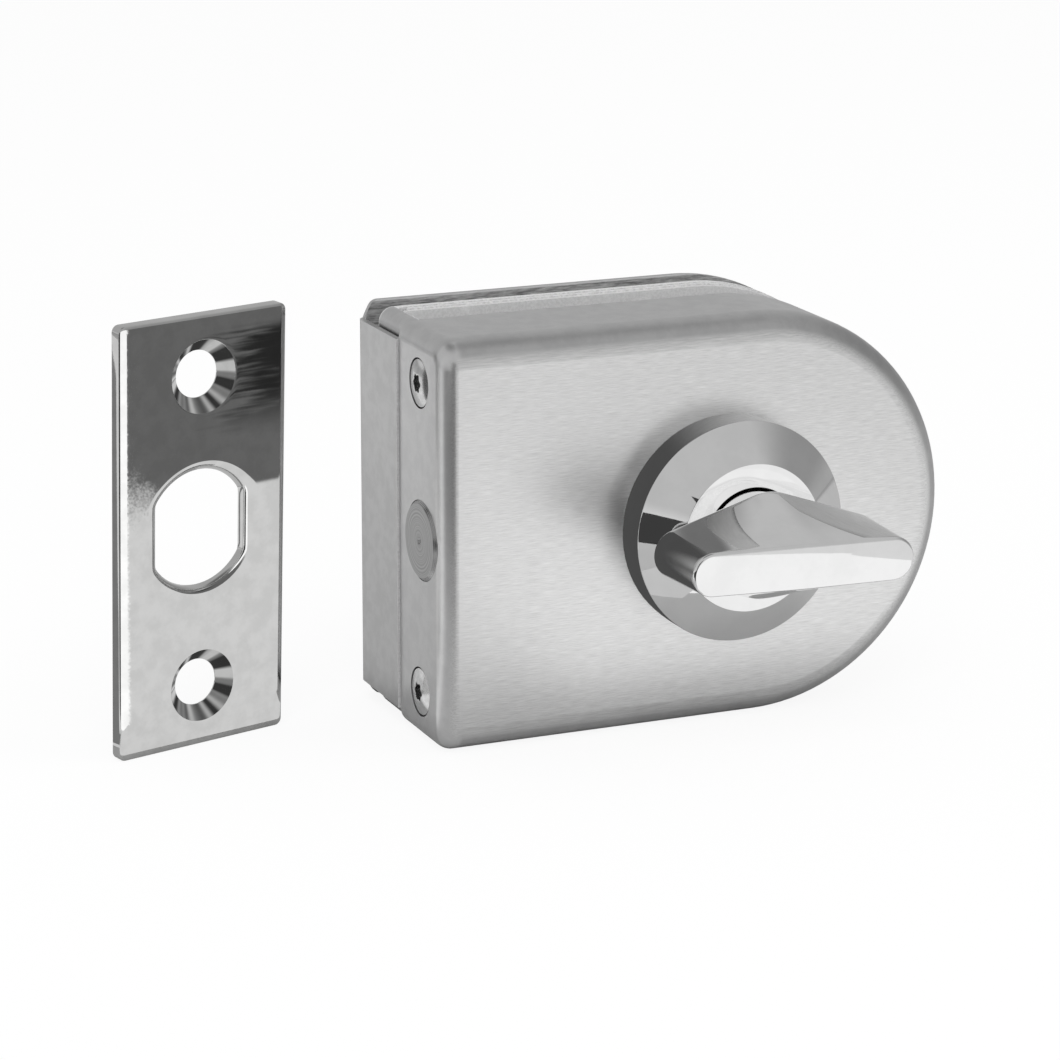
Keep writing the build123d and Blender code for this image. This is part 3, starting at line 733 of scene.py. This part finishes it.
# Sizes on the plate, in mm
plate_width = 32.5
plate_height = 73.8
plate_thickness = 2.5
plate_corner = 1.2
least_corner = 0.1
seam_play = 0.01
edge_roll = 1.3
edge_fall = 0.5
face_inset = edge_roll + 0.1
back_inset = 0.3
back_edge = 0.15
opening_radius = 10.0
opening_half = 8.5
opening_squareness = 90
rim_roll = 2.2
rim_flat = 0.1
screw_hole = 4.0
screw_sink = 2.3
bore_round = 0.15
lip_round = 0.4
sink_outside = 7.0
low_screw = 10.3
opening_middle = 37.4
high_screw = 63.5
low_seam = 20.8
high_seam = 53.5
side_margin = 2.8
bands = [
    (0.0, low_seam, low_screw, "screw"),
    (low_seam, high_seam, opening_middle, "opening"),
    (high_seam, plate_height, high_screw, "screw"),
]
across_steps = np.linspace(side_margin, plate_width - side_margin, 30)
up_steps = np.concatenate([
    np.linspace(side_margin, low_seam, 16, endpoint=False),
    np.linspace(low_seam, high_seam, 28, endpoint=False),
    np.linspace(high_seam, plate_height - side_margin, 16),
])


def plate_outline(inset):
    """The plate's outline moved inwards, anticlockwise from its lower left corner, in mm across and up.

    Its sides keep the same steps at every inset, so the points of any two outlines line up.
    """
    low, right, top = inset, plate_width - inset, plate_height - inset
    level, tall = np.ones_like(across_steps), np.ones_like(up_steps)
    sides = [
        np.stack([across_steps, low * level], -1),
        np.stack([right * tall, up_steps], -1),
        np.stack([across_steps[::-1], top * level], -1),
        np.stack([low * tall, up_steps[::-1]], -1),
    ]
    line, radii = [], []
    for corner, side in zip([(low, low), (right, low), (right, top), (low, top)], sides):
        line += [np.array([corner]), side]
        radii += [max(plate_corner - inset, least_corner)] + [0] * len(side)
    return rounded(np.concatenate(line), radii, steps=6)


def hole_wall(kind, angle):
    """Distance from the hole's middle and depth, ring by ring from the back face to just past the front rim.

    A screw hole is a bore that opens as a cone with a small lip. The opening is a circle cut by two flats,
    the softer of circle and flat / |cos angle|, and its wall rolls over to the front in a quarter round.
    """
    if kind == "screw":
        corners = [
            (screw_hole, plate_thickness),
            (screw_hole, screw_sink),
            (screw_hole + screw_sink, 0.0),
            (sink_outside, 0.0),
        ]
        wall = rounded(corners, [0, bore_round, lip_round, 0], steps=6)
        return wall[:, 0, None] * np.ones_like(angle), wall[:, 1]
    least_cosine = 0.01
    corners = [(0.0, plate_thickness), (0.0, 0.0), (rim_roll + rim_flat, 0.0)]
    wall = rounded(corners, [0, rim_roll, 0], steps=14)
    circle = opening_radius + wall[:, 0, None]
    flat = (opening_half + wall[:, 0, None]) / np.maximum(np.abs(np.cos(angle)), least_cosine)
    return circle * (1 + (circle / flat) ** opening_squareness) ** (-1 / opening_squareness), wall[:, 1]


def band_strip(front, back, low, high, middle, kind):
    """Rings of one band of the plate, from its back face through the hole's wall to its front face.

    Every ring keeps the angles of the band's outer loop about the hole's middle, and only the distance
    and the depth change from ring to ring.
    """
    mine = (front[:, 1] > low - seam_play) & (front[:, 1] < high + seam_play)
    ends = [end for end in (low, high) if 0 < end < plate_height]
    seams = [np.stack([across_steps, 0 * across_steps + end], -1) for end in ends]
    near = np.concatenate([front[mine], *seams])
    far = np.concatenate([back[mine], *seams])
    angle = np.arctan2(near[:, 1] - middle, near[:, 0] - plate_width / 2)
    order = np.argsort(angle)
    angle = angle[order]
    away, depth = hole_wall(kind, angle)
    wall = np.stack([
        plate_width / 2 + away * np.cos(angle),
        middle + away * np.sin(angle),
        -depth[:, None] * np.ones_like(angle),
    ], -1)
    back_loop = np.insert(far[order], 2, -plate_thickness, axis=1)
    front_loop = np.insert(near[order], 2, 0.0, axis=1)
    return np.concatenate([back_loop[None], wall, front_loop[None]])


def edge_strip():
    """Rings round the plate's edge, from its front face to its back.

    The edge falls away as a quarter ellipse, inset = roll * (1 - sin a) and depth = fall * (1 - cos a).
    """
    turn = np.linspace(0, quarter_turn, 9)
    thickness = plate_thickness
    insets = [face_inset, *(edge_roll * (1 - np.sin(turn))), 0.0, back_edge, back_inset]
    depths = [0.0, *(edge_fall * (1 - np.cos(turn))), thickness - back_edge, thickness, thickness]
    return np.array([np.insert(plate_outline(i), 2, -d, axis=1) for i, d in zip(insets, depths)])


def strike_plate_shell():
    """Points and faces of the plate, made of three bands with a hole each and a strip round its edge.

    The strips meet point for point, and doubled points are merged.
    """
    front, back = plate_outline(face_inset), plate_outline(back_inset)
    strips = [band_strip(front, back, *band) for band in bands] + [edge_strip()]
    starts = np.cumsum([0] + [strip.shape[0] * strip.shape[1] for strip in strips])
    quads = []
    for start, strip in zip(starts, strips):
        index = start + np.arange(strip.shape[0] * strip.shape[1]).reshape(strip.shape[:2])
        ahead = np.roll(index, -1, 1)
        quads.append(np.stack([index[:-1], ahead[:-1], ahead[1:], index[1:]], -1).reshape(-1, 4))
    points = np.concatenate([strip.reshape(-1, 3) for strip in strips])
    decimals = 5
    points, where = np.unique(np.round(points, decimals), axis=0, return_inverse=True)
    quads = where.reshape(-1)[np.concatenate(quads)]
    axes = np.array([strike_right, strike_up, strike_out])
    points = np.array(strike_corner) + points * mm @ axes
    if volume(points, [quads]) < 0:
        quads = quads[:, ::-1]
    return points, [quads]


piece(
    "polished_strike_plate",
    [strike_plate_shell()],
    chrome,
    body="lock",
    nodes=["strike_plate"],
    sharp=30,
)


# Studio: floor, world, lamps and the camera

def staged(name, points, faces, material):
    """An object of the studio, which isn't part of the lock."""
    mesh = bpy.data.meshes.new(name)
    mesh.from_pydata([tuple(point) for point in points], [], faces)
    mesh.materials.append(material)
    made = bpy.data.objects.new(name, mesh)
    bpy.context.scene.collection.objects.link(made)
    return made


def bare_material(name):
    """A new material with an empty tree, and its output node."""
    made = bpy.data.materials.new(name)
    made.use_nodes = True
    made.node_tree.nodes.clear()
    return made, made.node_tree, made.node_tree.nodes.new("ShaderNodeOutputMaterial")


def light_path(tree):
    """The outputs of a Light Path node, which say what kind of ray meets a surface."""
    return tree.nodes.new("ShaderNodeLightPath").outputs


def studio_floor():
    """A floor that is white to the camera but for a soft shadow, and mid-grey paper to every other ray."""
    reach = 6.0
    paper_seen = 0.85
    paper_lit = 0.45
    glow_share = 0.9
    spots = ((-reach, -reach), (reach, -reach), (reach, reach), (-reach, reach))
    corners = [(x, y, floor_z) for x, y in spots]
    made, tree, out = bare_material("floor_paper")
    camera_ray = light_path(tree)["Is Camera Ray"]
    paper = blend(tree, camera_ray, paper_lit, paper_seen)
    lit = node(tree, "ShaderNodeBsdfDiffuse", Color=paper)
    glow = node(tree, "ShaderNodeEmission", Color=(1, 1, 1, 1), Strength=1.0)
    share = times(tree, camera_ray, glow_share)
    both = node(tree, "ShaderNodeMixShader", Fac=share, i1=lit.outputs[0], i2=glow.outputs[0])
    join(tree, both.outputs[0], out.inputs["Surface"])
    staged("studio_floor", corners, [(0, 1, 2, 3)], made)


def card(name, corners, shade, faces=((0, 1, 2, 3),)):
    """A card only metal sees: the camera doesn't, it lights nothing matt and throws no shadow."""
    made, tree, out = bare_material(name)
    glow = node(tree, "ShaderNodeEmission", Color=(shade, shade, shade, 1), Strength=1.0)
    join(tree, glow.outputs[0], out.inputs["Surface"])
    board = staged(name, corners, faces, made)
    board.visible_camera = False
    board.visible_diffuse = False
    board.visible_shadow = False
    return tree, glow, out


def one_sided(tree, glow, out, mask=None):
    """Shows a card from its front only, and only as far as its mask: the rest is clear."""
    clear = tree.nodes.new("ShaderNodeBsdfTransparent")
    away = tree.nodes.new("ShaderNodeNewGeometry").outputs["Backfacing"]
    if mask is not None:
        away = maths(tree, "MAXIMUM", away, rest_of(tree, mask))
    shown = node(tree, "ShaderNodeMixShader", Fac=away, i1=glow.outputs[0], i2=clear.outputs[0])
    join(tree, shown.outputs[0], out.inputs["Surface"])


def level_card(name, spots, above, shade):
    """A card that lies a little above the floor, with its corners at spots in X and Y."""
    card(name, [(x, y, floor_z + above) for x, y in spots], shade)


def flat_card(name, low, high, shade):
    """An oblong card that lies 1 mm above the floor, from one corner to the other."""
    spots = [(low[0], low[1]), (high[0], low[1]), (high[0], high[1]), (low[0], high[1])]
    level_card(name, spots, 1 * mm, shade)


def upright_card(name, start, end, top, shade):
    """A card that stands on the floor along a line, up to its top."""
    card(name, [(*start, floor_z), (*end, floor_z), (*end, top), (*start, top)], shade)


# Cards at the strike plate, with their places in mm on it
strike_card_out = 12


def facing_strike(name, left, low, right, high, shade):
    """A card parallel to the strike plate and in front of it, seen from the plate's side only."""
    spots = ((left, low), (left, high), (right, high), (right, low))
    made = card(name, [on_strike(x, z, strike_card_out) for x, z in spots], shade)
    one_sided(*made)
    return made


def strike_card():
    """Card before the strike plate, a painted reflection for its face: a white strip on the left, and on its
    right dark above and pale below.

    The line between dark and pale is sharp on the right and grainy on the left, and near-black streaks
    come in from the upper right. Places on the card are shares of its width and height.
    """
    tree, glow, _ = facing_strike("strike_card", -6, 0.6, 43, 78, 0.2)
    way = tree.nodes.new("ShaderNodeTexCoord").outputs
    across, _, up = parts_of(tree, way["Generated"])
    drawn_out = (90.0, 90.0, 1400.0)
    grain = noise(tree, way["Object"], 2600.0, 4.0)
    patches = noise(tree, way["Object"], 420.0, 2.0)
    streak = noise(tree, vector_maths(tree, "MULTIPLY", way["Object"], drawn_out), 1.0, 2.0)
    left = falling(tree, across, 0.25, 0.56)
    ragged = swing(tree, shared(tree, grain, 0.75, patches), times(tree, left, 0.32))
    pale_below = ramp(tree, left, 0, 1, 0.497, 0.45)
    dark_above = ramp(tree, left, 0, 1, 0.507, 0.60)
    dark = ramp(tree, plus(tree, up, ragged), pale_below, dark_above)
    streaked = plus(tree, across, swing(tree, streak, 0.7))
    upper_right = times(tree, ramp(tree, streaked, 0.66, 0.89), ramp(tree, up, 0.60, 0.72))
    deep = times(tree, upper_right, falling(tree, up, 0.84, 0.87))
    frayed = plus(tree, across, swing(tree, grain, 0.03))
    strip = falling(tree, frayed, 0.307, 0.320)
    halves = blend(tree, dark, 0.92, 0.18)
    face = blend(tree, deep, halves, 0.03)
    join(tree, blend(tree, strip, face, 1.5), glow.inputs["Color"])


def strip_faces(count, closed):
    """Quads between two lines of count points, one line after the other, closed into a ring or left open."""
    near = np.arange(count if closed else count - 1)
    after = (near + 1) % count
    return np.stack([near, after, count + after, count + near], -1).tolist()


def countersink_card(name, up):
    """Cone just inside a countersink's wall, seen from the wall only: a painted reflection with light and
    dark rays.
    """
    sweep = np.linspace(0, full_turn, 64, endpoint=False)
    across = plate_width / 2
    bore_clearance = 0.02
    rim_clearance = 0.12
    rim_depth = 0.1
    rays_from = 7.0
    rays_per_radian = 1.9
    rim = screw_hole + screw_sink - rim_clearance
    rims = [(screw_hole - bore_clearance, -screw_sink), (rim, -rim_depth)]
    points = [on_strike(across + r * cos(a), up + r * sin(a), out) for r, out in rims for a in sweep]
    made = card(name, points, 0.5, strip_faces(len(sweep), closed=True))
    tree, glow, _ = made
    place = tree.nodes.new("ShaderNodeTexCoord").outputs["Object"]
    off = vector_maths(tree, "SUBTRACT", place, tuple(on_strike(across, up, 0)))
    right = vector_maths(tree, "DOT_PRODUCT", off, tuple(strike_right))
    high = vector_maths(tree, "DOT_PRODUCT", off, tuple(strike_up))
    turn = maths(tree, "ARCTAN2", high, right)
    rays = line_noise(tree, plus(tree, turn, rays_from), rays_per_radian, 1.0)
    join(tree, blend(tree, ramp(tree, rays, 0.38, 0.70), 0.05, 0.75), glow.inputs["Color"])
    one_sided(*made)


# Cards at the rose
card_gap = 0.05 * mm


def rose_ring_card(name, sweep, inner, outer, level, shade, closed):
    """A flat card about the turn's axis, between two radii: x = r cos a and z = r sin a at one depth."""
    points = [(r * np.cos(a), level, r * np.sin(a)) for r in (inner, outer) for a in sweep]
    return card(name, points, shade, strip_faces(len(sweep), closed))


def rose_side_card():
    """Dark sheet on the casing, left of the rose: painted shade that the rose's band reflects, which darkens
    the band.

    It is full from the lower left to the upper left and fades towards both ends and outwards.
    """
    sweep = np.radians(np.linspace(290, 60, 47))
    inner = rose_radius + 0.1 * mm
    full_to = rose_radius + 13 * mm
    outer = rose_radius + 22 * mm
    level = front_y - card_gap
    made = rose_ring_card("rose_side_card", sweep, inner, outer, level, 0.075, closed=False)
    tree = made[0]
    place = tree.nodes.new("ShaderNodeTexCoord").outputs["Object"]
    x, _, z = parts_of(tree, place)
    turn = maths(tree, "ARCTAN2", z, x)
    radius = vector_maths(tree, "LENGTH", vector_maths(tree, "MULTIPLY", place, (1.0, 0.0, 1.0)))
    upper = ramp(tree, turn, radians(70), radians(132))
    lower = times(tree, falling(tree, turn, radians(-105), radians(-75)), falling(tree, turn, -0.1, 0.0))
    along = maths(tree, "MAXIMUM", upper, lower)
    outwards = falling(tree, radius, full_to, outer)
    one_sided(*made, times(tree, along, outwards))


def rose_face_card():
    """White ring just before the rose's flat face, seen from the face only: it whitens its reflections."""
    sweep = np.linspace(0, full_turn, 96, endpoint=False)
    inner = neck_radius + 0.2 * mm
    level = rose_front - card_gap
    made = rose_ring_card("rose_face_card", sweep, inner, rose_flat, level, 0.97, closed=True)
    one_sided(*made, 0.8)


def studio_world():
    """Plain white for the camera, even light for matt surfaces, and a soft grey sky for metal.

    The sky is palest at the horizon and darkens overhead and to the right.
    """
    world = bpy.data.worlds.new("studio")
    world.use_nodes = True
    bpy.context.scene.world = world
    tree = world.node_tree
    tree.nodes.clear()
    even_light = 0.75
    horizon = 0.72
    open_sky = 0.54
    overhead_share = 0.36
    right_share = 0.56
    way = tree.nodes.new("ShaderNodeTexCoord").outputs["Generated"]
    across, _, height = parts_of(tree, way)
    rising = ramp(tree, height, 0.02, 0.22, horizon, open_sky)
    overhead = ramp(tree, height, 0.86, 0.98, 1.0, overhead_share)
    to_right = ramp(tree, across, 0.45, 0.90, 1.0, right_share)
    sky = times(tree, times(tree, rising, overhead), to_right)
    path = light_path(tree)
    glossy = node(tree, "ShaderNodeMix", i0=path["Is Glossy Ray"], i2=even_light, i3=sky).outputs[0]
    shown = node(tree, "ShaderNodeMix", i0=path["Is Camera Ray"], i2=glossy, i3=1.0).outputs[0]
    light = node(tree, "ShaderNodeBackground", Color=(1, 1, 1, 1), Strength=shown)
    out = tree.nodes.new("ShaderNodeOutputWorld")
    join(tree, light.outputs[0], out.inputs["Surface"])


def lamp(name, place, power, size=0.9, aim=(0, 0, 0)):
    """A square soft lamp that points from its place to its aim, and isn't seen in metal."""
    data = bpy.data.lights.new(name, "AREA")
    data.size = size
    data.energy = power
    made = bpy.data.objects.new(name, data)
    bpy.context.scene.collection.objects.link(made)
    made.location = place
    made.rotation_euler = (Vector(aim) - Vector(place)).to_track_quat("-Z", "Y").to_euler()
    made.visible_glossy = False


def studio_camera():
    """The photograph's camera: a long lens a little above the lock, from its front left."""
    place = (-0.27074, -0.56238, 0.16625)
    right = Vector((0.91797, -0.39664, 0.00328))
    up = Vector((0.10295, 0.24622, 0.96373))
    back = Vector((-0.38306, -0.88434, 0.26685))
    data = bpy.data.cameras.new("camera")
    data.sensor_width = 36.0
    data.lens = 126.706
    data.clip_start = 0.01
    made = bpy.data.objects.new("camera", data)
    bpy.context.scene.collection.objects.link(made)
    turn = Matrix((right, up, back)).transposed().to_4x4()
    made.matrix_world = Matrix.Translation(place) @ turn
    bpy.context.scene.camera = made


studio_floor()
studio_world()
studio_camera()
lamp("key_lamp", (-0.5, -0.9, 1.1), power=9.0)
lamp("fill_lamp", (0.9, -0.5, 0.9), power=5.0)

# Oblong cards on the floor: name, two corners in X and Y, and shade
for row in (
    ("front_left_mat", (-0.25, -0.35), (-0.04, -0.11), 0.04),
    ("front_middle_board", (-0.035, -0.45), (0.085, -0.043), 1.0),
    ("front_right_board", (0.085, -0.45), (0.40, -0.043), 0.76),
    ("left_board", (-0.45, -0.045), (-0.105, 0.40), 0.88),
    ("behind_strike_board", (-0.100, 0.014), (-0.056, 0.120), 0.62),
):
    flat_card(*row)

# Other cards on the floor: name, four corners, height above it and shade
low_corner = ((-0.05, -0.066), (-0.02, -0.066), (-0.02, -0.04), (-0.05, -0.04))
behind_left = ((-0.104, -0.008), (-0.104, 0.016), (-0.33, 0.20), (-0.33, 0.14))
level_card("low_corner_card", low_corner, 2 * mm, 0.6)
level_card("strike_side_card", behind_left, 2 * mm, 0.26)

# Standing cards: name, two ends, top and shade
upright_card("front_left_wall", (-0.20, -0.055), (-0.045, -0.165), 0.014, 0.05)
upright_card("camera_side_wall", (-0.12, -0.20), (-0.035, -0.20), 0.10, 0.05)

# Cards that the strike plate and the rose reflect
foot = [on_strike(across, 1.0, out) for across, out in ((-4, 0.3), (-4, 16), (40, 16), (40, 0.3))]
card("strike_floor_board", foot, 0.9)
facing_strike("strike_far_card", -45, 0, -6, 78, 0.05)
strike_card()
countersink_card("lower_sink_card", low_screw)
countersink_card("upper_sink_card", high_screw)
rose_side_card()
rose_face_card()
bpy.context.scene.view_settings.view_transform = "Standard"
